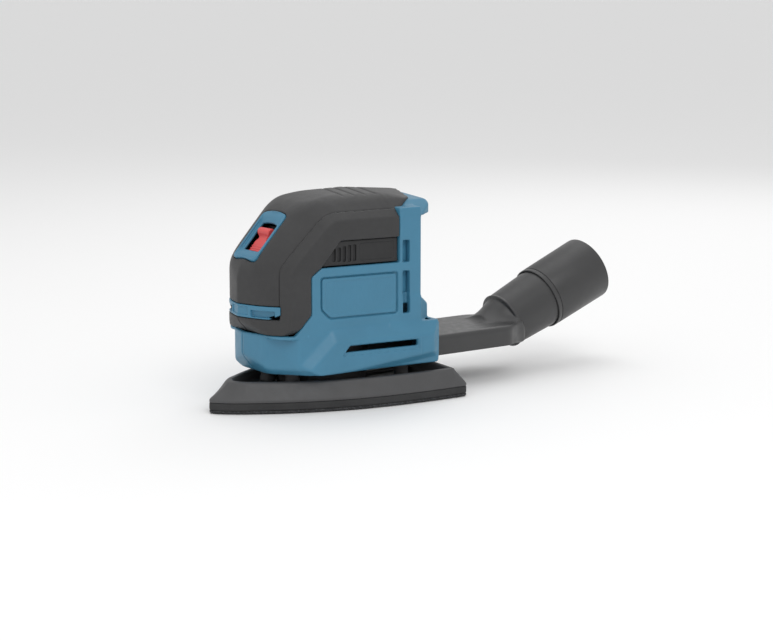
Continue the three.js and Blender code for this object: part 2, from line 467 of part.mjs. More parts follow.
// ---------------------------------------------------------------- dust adapter
const ct = Math.cos(TUBE_TILT), st = Math.sin(TUBE_TILT);
function alongTube(g) {                       // local +Z becomes the tube's axis
  g.applyMatrix4(new THREE.Matrix4().makeBasis(
    new THREE.Vector3(st, 0, -ct), new THREE.Vector3(0, 1, 0), new THREE.Vector3(ct, 0, st)));
  g.translate(TUBE_A[0], 0, TUBE_A[1]);
  return g;
}
function tubePart(profile, n = 24) {
  return solid(alongTube(new THREE.LatheGeometry(profile.map(p => new THREE.Vector2(p[0], p[1])), n).rotateX(Math.PI / 2)));
}
const circlePoints = (r, s, n = 24) => {
  const out = [];
  for (let i = 0; i < n; i++) {
    const a = 2 * Math.PI * (i + 0.5) / n, u = r * Math.cos(a), w = r * Math.sin(a);
    out.push([TUBE_A[0] + ct * s - st * w, u, TUBE_A[1] + st * s + ct * w]);
  }
  return out;
};
const ductRing = (x, t) => [[x, -(DUCT_HALF - t), DUCT_Z0 + t], [x, DUCT_HALF - t, DUCT_Z0 + t], [x, DUCT_HALF - t, DUCT_Z1 - t - 1.4], [x, -(DUCT_HALF - t), DUCT_Z1 - t - 1.4],
  [x, -(DUCT_HALF - t - 1.4), DUCT_Z1 - t], [x, DUCT_HALF - t - 1.4, DUCT_Z1 - t]];
const T = 2;
const adapterOuter = union(
  hull([...ductRing(DUCT_X0, 0), ...ductRing(DUCT_X1, 0)]),
  hull([...ductRing(DUCT_X1 - 0.05, 0), ...circlePoints(TUBE_R0, 1)]),
  tubePart([[0, 0.9], [TUBE_R0, 0.9], [TUBE_R1, TUBE_L], [0, TUBE_L]]),
  box(42, DUCT_X0 + 0.1, -16.4, 16.4, 23.0, 30.3));
const adapterInner = union(
  hull([...ductRing(DUCT_X0 + 2, T), ...ductRing(DUCT_X1, T)]),
  hull([...ductRing(DUCT_X1 - 0.1, T), ...circlePoints(TUBE_R0 - T, 1.05)]),
  tubePart([[0, 1], [TUBE_R0 - T, 1], [TUBE_R1 - T, TUBE_L + 1], [0, TUBE_L + 1]]),
  box(40, DUCT_X0 + 3, -15.2, 15.2, 24.2, 29.1));
put('dust_adapter', minus(adapterOuter, adapterInner), 0x4a4a4a, 0.5);
put('outlet_sleeve', tubePart([[SLEEVE_R0, 29.5], [SLEEVE_R1, SLEEVE_L], [SLEEVE_R1 - 1.8, SLEEVE_L], [TUBE_R1 - 1.6, TUBE_L + 0.4], [TUBE_R1 + 0.25, TUBE_L + 0.3], [TUBE_R1 + 0.2, 29.5], [SLEEVE_R0, 29.5]], 24), 0x484848, 0.5);

export default group;
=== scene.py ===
"""Looks of the cordless detail sander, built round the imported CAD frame."""
import json
import math

import bmesh
import bpy
import numpy as np
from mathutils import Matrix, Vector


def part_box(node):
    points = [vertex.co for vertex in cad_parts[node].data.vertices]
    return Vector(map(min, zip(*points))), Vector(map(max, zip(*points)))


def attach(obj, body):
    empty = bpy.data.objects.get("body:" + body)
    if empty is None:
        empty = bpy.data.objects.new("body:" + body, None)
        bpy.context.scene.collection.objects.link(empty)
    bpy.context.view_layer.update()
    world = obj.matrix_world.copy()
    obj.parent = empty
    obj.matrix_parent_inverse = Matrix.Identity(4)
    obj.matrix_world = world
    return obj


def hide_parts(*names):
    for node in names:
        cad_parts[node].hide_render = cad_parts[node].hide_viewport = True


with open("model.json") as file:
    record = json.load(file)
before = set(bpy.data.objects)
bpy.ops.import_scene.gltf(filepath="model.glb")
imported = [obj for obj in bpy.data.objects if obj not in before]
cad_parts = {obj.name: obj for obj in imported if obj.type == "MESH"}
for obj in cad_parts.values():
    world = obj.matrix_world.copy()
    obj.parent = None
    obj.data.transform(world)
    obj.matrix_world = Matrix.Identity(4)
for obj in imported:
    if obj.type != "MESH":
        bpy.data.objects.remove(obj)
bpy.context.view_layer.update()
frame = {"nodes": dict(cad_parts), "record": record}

import openvdb as vdb
from mathutils import Matrix, Vector

MM = 0.001

# ---------------------------------------------------------------- camera first
CAM_POS = Vector((-578.0756, -856.7142, 224.7907)) * MM
CAM_BACK = Vector((-0.579, -0.797, 0.1736))
cam_data = bpy.data.cameras.new("camera")
cam_data.sensor_width = 36.0
cam_data.lens = 1900 * 36 / 773
cam = bpy.data.objects.new("camera", cam_data)
bpy.context.scene.collection.objects.link(cam)
cam.location = CAM_POS
cam.rotation_euler = (-CAM_BACK).to_track_quat("-Z", "Y").to_euler()
cam_data.clip_start = 0.01
cam_data.clip_end = 400.0
bpy.context.scene.camera = cam

# ---------------------------------------------------------------- dimensions, in mm, the same as the CAD's
GAP = 0.3
WALL = 3.0
FLOOR_Z, DECK_Z, SIDE_Y, FLANK_Y, SLOPE_S = 20.0, 42.0, 34.0, 38.0, 0.115
NOSE_X, TOP_Z, COLUMN_X, HOOK_X, BAY_X = -54.7, 114.2, 40.0, 51.5, 28.0
BAND_Z0, BAND_Z1, GRIP_X = 50.8, 57.6, -43.0
TILT = math.radians(21.7)
TA = (128.6, 29.0)
SLOPE_ANG = math.atan2(21.5, 19.5)


# ---------------------------------------------------------------- distance fields
def smax(a, b, k):
    if k <= 0:
        return np.maximum(a, b)
    h = np.clip(0.5 + 0.5 * (a - b) / k, 0, 1)
    return b * (1 - h) + a * h + k * h * (1 - h)


def smin(a, b, k):
    return -smax(-a, -b, k)


def mx(*fs):
    r = fs[0]
    for f in fs[1:]:
        r = np.maximum(r, f)
    return r


def mn(*fs):
    r = fs[0]
    for f in fs[1:]:
        r = np.minimum(r, f)
    return r


def thr(nx, ny, nz, px, py, pz):
    m = math.sqrt(nx * nx + ny * ny + nz * nz)
    return (nx / m, ny / m, nz / m, (nx * px + ny * py + nz * pz) / m)


class G:
    """A grid of points, kept as three broadcasting axes."""

    def __init__(s, lo, hi, h):
        s.h = h
        s.lo = np.array(lo, float) - 2.5 * h
        n = [int(math.ceil((b - a) / h)) + 6 for a, b in zip(lo, hi)]
        s.n = n
        s.x = (s.lo[0] + h * np.arange(n[0], dtype=np.float32)).astype(np.float32)[:, None, None]
        s.y = (s.lo[1] + h * np.arange(n[1], dtype=np.float32)).astype(np.float32)[None, :, None]
        s.z = (s.lo[2] + h * np.arange(n[2], dtype=np.float32)).astype(np.float32)[None, None, :]

    def plane(s, p):
        return (p[0] * s.x + (p[1] * s.y - p[3]) + p[2] * s.z).astype(np.float32)

    def both(s, p, k=0.0):
        """A plane and its mirror across Y, as one field."""
        if k <= 0:
            return (p[0] * s.x + (abs(p[1]) * abs(s.y) - p[3]) + p[2] * s.z).astype(np.float32)
        ay = np.sqrt(s.y * s.y + k * k)
        return (p[0] * s.x + (abs(p[1]) * ay - p[3]) + p[2] * s.z).astype(np.float32)

    def box(s, x0, x1, y0, y1, z0, z1, k=0.0):
        a = np.maximum(x0 - s.x, s.x - x1)
        b = np.maximum(y0 - s.y, s.y - y1)
        c = np.maximum(z0 - s.z, s.z - z1)
        return smax(smax(a, b, k), c, k).astype(np.float32)

    def xz(s, pts):
        return poly(pts, s.x[:, 0, :], s.z[0, :, :])[:, None, :]

    def xy(s, pts):
        return poly(pts, s.x[:, :, 0], s.y[:, :, 0])[:, :, None]

    def slope(s):
        """(u, v, n) of the sloping front: u to the near side, v up the slope, n out."""
        c, n = math.cos(SLOPE_ANG), math.sin(SLOPE_ANG)
        dx, dz = s.x + 40.15, s.z - 93.82
        return -s.y + 0 * dx, c * dx + n * dz, -n * dx + c * dz

    def tube(s):
        """(radius, distance along) of the outlet tube's axis."""
        dx, dz = s.x - TA[0], s.z - TA[1]
        ct, st = math.cos(TILT), math.sin(TILT)
        w = st * dx - ct * dz
        return np.sqrt(w * w + s.y * s.y), ct * dx + st * dz + 0 * s.y, w + 0 * s.y


def poly(pts, u, v):
    """Signed distance to a closed outline, negative inside."""
    u, v = np.broadcast_arrays(u, v)
    p = np.array(pts, np.float32)
    best = np.full(u.shape, 1e9, np.float32)
    inside = np.zeros(u.shape, bool)
    for i in range(len(p)):
        a, b = p[i], p[(i + 1) % len(p)]
        e = b - a
        wx, wy = u - a[0], v - a[1]
        t = np.clip((wx * e[0] + wy * e[1]) / max(float(e @ e), 1e-9), 0, 1)
        best = np.minimum(best, (wx - t * e[0]) ** 2 + (wy - t * e[1]) ** 2)
        c = (a[1] <= v) != (b[1] <= v)
        if abs(e[1]) > 1e-9:
            inside ^= c & (u < a[0] + (v - a[1]) * e[0] / e[1])
    return np.where(inside, -1, 1).astype(np.float32) * np.sqrt(best)


def rounded(pts, r, n=5):
    """The outline with each corner rounded to about r."""
    out = []
    m = len(pts)
    for i in range(m):
        a, b, c = (np.array(pts[j % m], float) for j in (i - 1, i, i + 1))
        d1, d2 = a - b, c - b
        l1, l2 = np.linalg.norm(d1), np.linalg.norm(d2)
        q = min(r, 0.45 * l1, 0.45 * l2)
        p0, p2 = b + d1 / l1 * q, b + d2 / l2 * q
        for k in range(n + 1):
            t = k / n
            out.append(tuple((1 - t) ** 2 * p0 + 2 * t * (1 - t) * b + t * t * p2))
    return out


def mesh_of(name, g, f, mirror=False, keep=1):
    """One smooth mesh from the zero level of a field."""
    f = np.ascontiguousarray(np.broadcast_to(f, g.n), dtype=np.float32)
    grid = vdb.FloatGrid(4 * g.h)
    f = np.clip(f, -4 * g.h, 4 * g.h)
    grid.copyFromArray(f)
    pts, quads = grid.convertToQuads(0.0)
    pts = (np.asarray(pts, np.float64) * g.h + g.lo) * MM
    quads = np.asarray(quads, np.int64)
    # keep the faces of the largest connected pieces
    n = len(pts)
    parent = np.arange(n)
    e = np.concatenate([quads[:, [0, 1]], quads[:, [1, 2]], quads[:, [2, 3]]])
    label = parent.copy()
    while True:
        lo = np.minimum(label[e[:, 0]], label[e[:, 1]])
        new = label.copy()
        np.minimum.at(new, e[:, 0], lo)
        np.minimum.at(new, e[:, 1], lo)
        new = new[new]
        new = new[new]
        if (new == label).all():
            break
        label = new
    roots, counts = np.unique(label[quads[:, 0]], return_counts=True)
    good = roots[np.argsort(-counts)][:keep]
    quads = quads[np.isin(label[quads[:, 0]], good)]
    used = np.unique(quads)
    remap = np.full(n, -1)
    remap[used] = np.arange(len(used))
    pts, quads = pts[used], remap[quads]
    # outward facing
    a, b, c, d = (pts[quads[:, i]] for i in range(4))
    vol = np.einsum("ij,ij->i", a, np.cross(b, c)).sum() + np.einsum("ij,ij->i", a, np.cross(c, d)).sum()
    if vol < 0:
        quads = quads[:, ::-1]
    if mirror:
        pts = pts * np.array([1, -1, 1])
        quads = quads[:, ::-1]
    me = bpy.data.meshes.new(name)
    me.vertices.add(len(pts))
    me.vertices.foreach_set("co", pts.astype(np.float32).ravel())
    me.loops.add(4 * len(quads))
    me.loops.foreach_set("vertex_index", quads.astype(np.int32).ravel())
    me.polygons.add(len(quads))
    me.polygons.foreach_set("loop_start", np.arange(0, 4 * len(quads), 4, dtype=np.int32))
    me.polygons.foreach_set("use_smooth", np.ones(len(quads), bool))
    me.update(calc_edges=True)
    me.validate()
    o = bpy.data.objects.new(name, me)
    bpy.context.scene.collection.objects.link(o)
    return o


# ---------------------------------------------------------------- materials
def material(name, build):
    m = bpy.data.materials.new(name)
    m.use_nodes = True
    nt = m.node_tree
    bsdf = next(n for n in nt.nodes if n.type == "BSDF_PRINCIPLED")
    build(nt, bsdf)
    return m


def nd(nt, kind, **inputs):
    n = nt.nodes.new(kind)
    for k, v in inputs.items():
        key = k.replace("_", " ")
        if key in n.inputs:
            n.inputs[key].default_value = v
        else:
            setattr(n, k, v)
    return n


def moulded(name, colour, rough, grain=1500.0, bump=0.12, vary=0.08, wear=0.35, depth=0.00006, spec=0.5, scratch=0.25, sheen=0.0):
    """Moulded plastic or soft overmould: fine spark texture, slow colour drift, rubbed edges and hairline scuffs."""

    def build(nt, b):
        L = nt.links.new
        co = nt.nodes.new("ShaderNodeTexCoord")
        slow = nd(nt, "ShaderNodeTexNoise", Scale=55.0, Detail=3.0, Roughness=0.55)
        fine = nd(nt, "ShaderNodeTexNoise", Scale=grain, Detail=2.0, Roughness=0.6)
        mott = nd(nt, "ShaderNodeTexNoise", Scale=260.0, Detail=4.0, Roughness=0.6)
        for t in (slow, fine, mott):
            L(co.outputs["Object"], t.inputs["Vector"])
        ramp = nt.nodes.new("ShaderNodeValToRGB")
        ramp.color_ramp.elements[0].position = 0.3
        ramp.color_ramp.elements[1].position = 0.72
        c = np.array(colour)
        ramp.color_ramp.elements[0].color = (*(c * (1 - vary)), 1)
        ramp.color_ramp.elements[1].color = (*np.minimum(c * (1 + vary), 1), 1)
        L(slow.outputs["Fac"], ramp.inputs["Fac"])
        # edges rubbed lighter
        geo = nt.nodes.new("ShaderNodeNewGeometry")
        edge = nt.nodes.new("ShaderNodeMapRange")
        edge.inputs["From Min"].default_value = 0.535
        edge.inputs["From Max"].default_value = 0.66
        L(geo.outputs["Pointiness"], edge.inputs["Value"])
        brk = nt.nodes.new("ShaderNodeMath")
        brk.operation = "MULTIPLY"
        L(edge.outputs["Result"], brk.inputs[0])
        L(mott.outputs["Fac"], brk.inputs[1])
        lvl = nt.nodes.new("ShaderNodeMath")
        lvl.operation = "MULTIPLY"
        lvl.inputs[1].default_value = wear
        L(brk.outputs[0], lvl.inputs[0])
        mix = nt.nodes.new("ShaderNodeMix")
        mix.data_type = "RGBA"
        light = np.minimum(c * 1.7 + 0.03, 1)
        mix.inputs["B"].default_value = (*light, 1)
        L(lvl.outputs[0], mix.inputs["Factor"])
        L(ramp.outputs["Color"], mix.inputs["A"])
        L(mix.outputs["Result"], b.inputs["Base Color"])
        # roughness: mottled, with faint directional scuffs
        mp = nt.nodes.new("ShaderNodeMapping")
        mp.inputs["Scale"].default_value = (14.0, 90.0, 700.0)
        mp.inputs["Rotation"].default_value = (0.3, 0.2, 0.1)
        L(co.outputs["Object"], mp.inputs["Vector"])
        sc = nd(nt, "ShaderNodeTexNoise", Scale=1.4, Detail=2.0, Roughness=0.5)
        L(mp.outputs["Vector"], sc.inputs["Vector"])
        add = nt.nodes.new("ShaderNodeMath")
        add.operation = "MULTIPLY_ADD"
        add.inputs[1].default_value = scratch * 0.3
        L(sc.outputs["Fac"], add.inputs[0])
        L(mott.outputs["Fac"], add.inputs[2])
        rr = nt.nodes.new("ShaderNodeMapRange")
        rr.inputs["From Min"].default_value = 0.3
        rr.inputs["From Max"].default_value = 0.8
        rr.inputs["To Min"].default_value = max(rough - 0.07, 0.05)
        rr.inputs["To Max"].default_value = min(rough + 0.07, 1)
        L(add.outputs[0], rr.inputs["Value"])
        L(rr.outputs["Result"], b.inputs["Roughness"])
        bp = nt.nodes.new("ShaderNodeBump")
        bp.inputs["Strength"].default_value = bump
        bp.inputs["Distance"].default_value = depth
        L(fine.outputs["Fac"], bp.inputs["Height"])
        L(bp.outputs["Normal"], b.inputs["Normal"])
        b.inputs["Specular IOR Level"].default_value = spec
        if sheen:
            b.inputs["Sheen Weight"].default_value = sheen
            b.inputs["Sheen Roughness"].default_value = 0.5

    return material(name, build)


def metal(name, colour, rough, scale=(40.0, 40.0, 900.0), bump=0.15):
    """Turned or ground metal: fine lay lines, slight tarnish."""

    def build(nt, b):
        L = nt.links.new
        co = nt.nodes.new("ShaderNodeTexCoord")
        mp = nt.nodes.new("ShaderNodeMapping")
        mp.inputs["Scale"].default_value = scale
        L(co.outputs["Object"], mp.inputs["Vector"])
        lay = nd(nt, "ShaderNodeTexNoise", Scale=6.0, Detail=3.0, Roughness=0.6)
        L(mp.outputs["Vector"], lay.inputs["Vector"])
        blot = nd(nt, "ShaderNodeTexNoise", Scale=180.0, Detail=4.0, Roughness=0.6)
        L(co.outputs["Object"], blot.inputs["Vector"])
        ramp = nt.nodes.new("ShaderNodeValToRGB")
        c = np.array(colour)
        ramp.color_ramp.elements[0].position = 0.35
        ramp.color_ramp.elements[0].color = (*(c * 0.72), 1)
        ramp.color_ramp.elements[1].position = 0.65
        ramp.color_ramp.elements[1].color = (*c, 1)
        L(blot.outputs["Fac"], ramp.inputs["Fac"])
        L(ramp.outputs["Color"], b.inputs["Base Color"])
        rr = nt.nodes.new("ShaderNodeMapRange")
        rr.inputs["To Min"].default_value = rough - 0.08
        rr.inputs["To Max"].default_value = rough + 0.12
        L(lay.outputs["Fac"], rr.inputs["Value"])
        L(rr.outputs["Result"], b.inputs["Roughness"])
        bp = nt.nodes.new("ShaderNodeBump")
        bp.inputs["Strength"].default_value = bump
        bp.inputs["Distance"].default_value = 0.00004
        L(lay.outputs["Fac"], bp.inputs["Height"])
        L(bp.outputs["Normal"], b.inputs["Normal"])
        b.inputs["Metallic"].default_value = 1.0

    return material(name, build)


def pile(name, colour):
    """Hook face: a dense field of small hooks."""

    def build(nt, b):
        L = nt.links.new
        co = nt.nodes.new("ShaderNodeTexCoord")
        v = nt.nodes.new("ShaderNodeTexVoronoi")
        v.inputs["Scale"].default_value = 900.0
        L(co.outputs["Object"], v.inputs["Vector"])
        # painted highlight and painted shade: the colour follows the bump, lighter on each hook's top and darker in
        # the hollows between hooks
        ramp = nt.nodes.new("ShaderNodeValToRGB")
        c = np.array(colour)
        ramp.color_ramp.elements[0].color = (*(c * 1.5), 1)
        ramp.color_ramp.elements[1].position = 0.6
        ramp.color_ramp.elements[1].color = (*(c * 0.5), 1)
        L(v.outputs["Distance"], ramp.inputs["Fac"])
        L(ramp.outputs["Color"], b.inputs["Base Color"])
        bp = nt.nodes.new("ShaderNodeBump")
        bp.inputs["Strength"].default_value = 0.8
        bp.inputs["Distance"].default_value = 0.0003
        bp.invert = True
        L(v.outputs["Distance"], bp.inputs["Height"])
        L(bp.outputs["Normal"], b.inputs["Normal"])
        rr = nt.nodes.new("ShaderNodeMapRange")
        rr.inputs["To Min"].default_value = 0.75
        rr.inputs["To Max"].default_value = 0.98
        L(v.outputs["Distance"], rr.inputs["Value"])
        L(rr.outputs["Result"], b.inputs["Roughness"])

    return material(name, build)


MAT = {
    "blue_plastic": moulded("blue_plastic", (0.046, 0.188, 0.300), 0.42, grain=2200, bump=0.10, vary=0.05, wear=0.55),
    "soft_grip": moulded("soft_grip", (0.033, 0.033, 0.034), 0.62, grain=1800, bump=0.30, vary=0.10, wear=0.45, spec=0.42, depth=0.00008, sheen=0.08),
    "panel_plastic": moulded("panel_plastic", (0.014, 0.014, 0.015), 0.55, grain=1700, bump=0.25, vary=0.08, wear=0.4),
    "red_plastic": moulded("red_plastic", (0.66, 0.066, 0.066), 0.36, grain=2400, bump=0.08, vary=0.05, wear=0.3),
    "black_plastic": moulded("black_plastic", (0.022, 0.022, 0.024), 0.5, grain=1600, bump=0.2),
    "pad_plastic": moulded("pad_plastic", (0.062, 0.062, 0.064), 0.50, grain=1500, bump=0.25, vary=0.08, wear=0.4),
    "foam": moulded("foam", (0.040, 0.040, 0.041), 0.85, grain=700, bump=0.7, vary=0.15, wear=0.1, depth=0.0002, spec=0.3),
    "adapter_plastic": moulded("adapter_plastic", (0.040, 0.040, 0.041), 0.40, grain=2000, bump=0.14, vary=0.06, wear=0.5),
    "leg_rubber": moulded("leg_rubber", (0.07, 0.07, 0.072), 0.7, grain=1200, bump=0.3, vary=0.1, wear=0.2),
    "seal_rubber": moulded("seal_rubber", (0.02, 0.02, 0.02), 0.8, grain=900, bump=0.4),
    "wire": moulded("wire", (0.3, 0.03, 0.03), 0.45, grain=1200, bump=0.1),
    "board": moulded("board", (0.015, 0.11, 0.045), 0.35, grain=600, bump=0.2, vary=0.15),
    "hook_face": pile("hook_face", (0.045, 0.047, 0.05)),
    "steel": metal("steel", (0.62, 0.63, 0.65), 0.28),
    "zinc": metal("zinc", (0.42, 0.43, 0.45), 0.5, bump=0.3),
    "brass": metal("brass", (0.75, 0.57, 0.27), 0.3),
    "copper": metal("copper", (0.75, 0.36, 0.17), 0.35, scale=(300.0, 300.0, 300.0)),
}
NODE_SLOT = {s["node"]: s["material_slot"] for s in frame["record"]["subparts"]}


def finish_as(o, slot):
    o.data.materials.clear()
    o.data.materials.append(MAT[slot])
    return o


def piece(o, node, body=None, slot=None):
    """A built piece that stands for a CAD node."""
    finish_as(o, slot or NODE_SLOT[node])
    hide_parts(node)
    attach(o, body or next(b for b, ns in frame["record"]["behaviour"]["bodies"].items() if node in ns))
    return o


for n, o in frame["nodes"].items():
    o.data.materials.clear()
    o.data.materials.append(MAT[NODE_SLOT[n]])

# ---------------------------------------------------------------- the outer form as fields
H = 0.6
HS = 0.30


def f_side(g, t=0.0):
    return g.both(thr(-SLOPE_S, -1, 0, 0, -SIDE_Y, 0)) + t


def f_nose(g, k=3.0):
    a = g.both(thr(-8.7, -7, 0, -50, -15.4, 0))
    b = g.both(thr(-11, -3.7, 0, -53.7, -4.4, 0))
    c = g.both(thr(-0.975, -0.222, 0, -53.7, -4.4, 0), 2.0)
    return smax(smax(a, b, k), c, k) - 0.7


def f_upper(g, chin=True):
    """Outside of the upper body: nose, sloping front, crown and shoulders."""
    f = smax(f_nose(g), g.plane(thr(-0.928, 0, 0.373, NOSE_X - 0.7, 0, 75)), 3.5)
    f = smax(f, g.plane(thr(-math.sin(SLOPE_ANG), 0, math.cos(SLOPE_ANG), -49.83, 0, 82.9)), 4.0)
    f = smax(f, g.both(thr(-0.6, -0.588, 0.544, -40.15, -14, 93.82)), 4.0)
    top = smax(g.plane(thr(-0.349, 0, 0.937, -12, 0, TOP_Z)), g.plane((0, 0, 1, TOP_Z)), 5.0)
    top = smax(top, g.both(thr(-0.08, -0.63, 0.775, 0, -20, TOP_Z)), 4.0)
    f = smax(f, top, 4.0)
    bev = smax(g.both(thr(-0.08, -0.704, 0.706, 0, -SIDE_Y, 102.2)), g.both(thr(-0.58, -0.674, 0.456, -35.3, -29.9, 80.5)), 1.5)
    f = smax(f, bev, 1.0)
    f = smax(f, f_side(g), 0.6)
    if chin:
        f = smax(f, g.plane(thr(-0.732, 0, -0.681, NOSE_X, 0, 49.6)), 2.2)
    return f


def f_lower_front(g):
    f = smax(f_nose(g, 1.0) + 3.6, g.plane(thr(-0.781, 0, -0.625, -51.4, 0, 30)), 1.2)
    return smax(f, g.both(thr(-0.5, -0.42, -0.757, -38.3, -18.8, FLOOR_Z)), 1.2)


DARK = [(-90, 42.3), (-36.5, 42.3), (-27, 52.6), (-27, 73), (-20.9, 77.6), (26.3, 77.6), (26.3, 160), (-90, 160)]
DARK_IN = [(-90, 42.0), (-36.2, 42.0), (-26.7, 52.5), (-26.7, 72.8), (-20.8, 77.3), (26.6, 77.3), (26.6, 160), (-90, 160)]
HOLE = [(-20.9, 77.6), (-9.4, 91.2), (27.5, 91.2), (27.5, 77.6)]


def HOOK_C(g):
    """Height of the hook's sloping shoulder."""
    return (103.18 + 0.06 * g.x - 0.55 * abs(g.y)) / 0.83


def f_core(g, t=0.0):
    return g.both(thr(-SLOPE_S, -1, 0, 0, -(SIDE_Y - 5), 0)) - t


# ---------------------------------------------------------------- top grip
def make_top_grip():
    g = G((-60, -38, 56), (53, 38, 115), H)
    U = f_upper(g, chin=False) + 0.4
    shell = np.maximum(U, -(U + 2.8))
    dark = g.xz(rounded(DARK, 1.0))
    core = mn(f_core(g), g.x - (GRIP_X - 0.15))
    f = smax(shell, dark, 0.5)
    f = smax(f, core, 0.7)
    f = smax(f, (BAND_Z1 + GAP) - g.z, 0.7)
    tongue_xy = [(20, -33), (28.4, -33), (46, -22.3), (51.3, -11.6), (51.5, 0), (51.3, 11.6), (46, 22.3), (28.4, 33), (20, 33)]
    hook_top = smin(112 - 0.0805 * abs(g.y) + 0 * g.x, HOOK_C(g), 0.5) + 0.15
    tongue = smax(smax(U, g.xy(rounded(tongue_xy, 0.6)), 0.5), hook_top - g.z, 0.3)
    tongue = smax(tongue, g.both(thr(0.17, -0.145, 0.975, 27, -25, TOP_Z - 0.9)), 1.2)
    f = smin(f, np.maximum(tongue, 24.0 - g.x), 0.3)
    u, v, n = g.slope()
    seat = mx(bezel_outline(u, v) - 0.3, n - 6, -3.4 - n)
    f = smax(f, -seat, 0.6)
    f = np.maximum(f, -mx(abs(u) - 6.0, -19.2 - v, v - 8, n + 3.9, -6.6 - n))
    for i in range(4):
        s = (g.x - (28.6 + 0.33 * g.y - 7.0 * i)) / math.sqrt(1 + 0.33 ** 2)
        groove = mx(abs(s) - 0.55, abs(g.y) - 20.5, (TOP_Z - 1.15) - g.z)
        f = smax(f, -groove, 0.35)
    return piece(mesh_of("crown_grip", g, f), "top_grip")


def bezel_outline(u, v):
    """Outline of the switch bezel: straight sides, crowned top, a slightly wavy foot."""
    top = 16.2 - 0.0095 * u * u
    bottom = -15.6 + 0.35 * np.cos(u * 0.42)
    f = smax(abs(u) - 11.0, v - top, 3.2)
    return smax(f, bottom - v, 2.6)


def make_bezel():
    g = G((-59, -12.5, 79), (-23, 12.5, 110), HS)
    u, v, n = g.slope()
    surf = 0.1 - 0.008 * np.maximum(abs(u) - 4, 0) ** 2
    f = smax(bezel_outline(u, v), n - surf, 0.9)
    f = np.maximum(f, -3.1 - n)
    # dished inside its raised rim
    inner = smax(abs(u) - 9.8, abs(v - 0.4) - 15.0, 3.0)
    depth = np.clip((13.5 - abs(v)) / 6.0, 0, 1)
    dish = np.maximum(inner, (-0.55 - 1.25 * depth * depth * (3 - 2 * depth)) - n)
    f = smax(f, -dish, 0.8)
    arc = 9.2 - 0.018 * u * u
    hole = smax(smax(abs(u) - 7.4, v - arc, 1.6), -9.6 - v, 1.2)
    f = smax(f, -hole, 0.5)
    return piece(mesh_of("switch_frame", g, f), "switch_bezel")


def make_slider():
    g = G((-55, -7, 77), (-29, 7, 101), 0.22)
    u, v, n = g.slope()
    base = smax(abs(u) - 5.45, n - (-4.5), 0.3)
    base = mx(base, -12.0 - v, v - 6.1, -5.6 - n)
    ridge = smax(np.sqrt((v - 3.7) ** 2 + ((n + 3.2) * 0.92) ** 2) - 2.42, abs(u) - 5.5, 0.9)
    ridge = np.maximum(ridge, -5.6 - n)
    # thumb plate: narrower neck under the ridge, then the flat block
    neck = smax(smax(abs(u) - (4.0 + 1.4 * np.clip((-0.8 - v) / 1.6, 0, 1)), v - 2.2, 0.5), -9.0 - v, 0.6)
    block = smax(neck, n - (-3.75 + 0.05 * (v + 8)), 0.5)
    ribs = 0.28 * np.clip(np.cos((v + 8.4) * 2 * math.pi / 1.5), -0.2, 1) * (v < -4.6)
    block = np.maximum(block - ribs * (n > -4.4), -5.6 - n)
    f = smin(smin(base, block, 0.6), ridge, 1.6)
    return piece(mesh_of("thumb_slide", g, f), "switch_slider")


# ---------------------------------------------------------------- side grips, both from one half
def make_side_grips():
    g = G((-60, -38, 41), (27.5, 0.6, 110), H)
    U = f_upper(g)
    shell = np.maximum(U, -(U + 3.0))
    dark = g.xz(rounded(DARK, 1.0))
    zone = mn(mx(-f_core(g, 0.15), GRIP_X - g.x), mx(g.z - (BAND_Z0 - GAP), g.x - (GRIP_X + 6)))
    f = smax(shell, dark, 0.6)
    f = smax(f, zone, 0.4)
    f = smax(f, g.plane(thr(-0.08, -0.7, -0.7, 0, -SIDE_Y, 45.5)), 0.8)
    f = smax(f, -g.xz(rounded(HOLE, 1.2)), 0.9)
    band = g.xz([(-90, BAND_Z0 - GAP), (-46.5, BAND_Z0 - GAP), (-42.6, 53.2), (-42.6, BAND_Z1 + 0.3), (-90, BAND_Z1 + 0.3)])
    f = smax(f, -band, 0.3)
    f = np.maximum(f, g.y + GAP / 2)
    for name, m in (("left_side_grip", False), ("right_side_grip", True)):
        piece(mesh_of(name + "_skin", g, f, mirror=m), name)


def make_vent_panels():
    g = G((-22, -37, 77), (27, -28, 92), 0.28)
    s = f_side(g)
    out = smax(g.xz(rounded([(-20.6, 77.9), (-9.6, 90.9), (26, 90.9), (26, 77.9)], 1.0)), s + 1.75, 0.3)
    f = np.maximum(out, -(s + 3.8))
    # slatted area behind the slanted edge, then a plain field
    for i in range(5):
        x = -12.5 + 3.1 * i
        slot = smax(abs(g.x - x) - 0.95, abs(g.z - 83.6 - 0.15 * i) - (3.4 + 0.35 * i if i < 3 else 4.4), 0.5)
        f = smax(f, -np.maximum(slot, -(s + 2.95)), 0.35)
    field = smax(abs(g.x - 13.2) - 10.6, abs(g.z - 84.4) - 4.6, 0.8)
    f = smax(f, -np.maximum(field, -(s + 2.25)), 0.3)
    lip = smax(g.box(-18.5, 25.9, -60, 0, 78.0, 79.0), s + 1.35, 0.3)
    f = smin(f, np.maximum(lip, -(s + 3.0)), 0.2)
    for name, m in (("left_vent_panel", False), ("right_vent_panel", True)):
        piece(mesh_of(name + "_face", g, f, mirror=m), name)


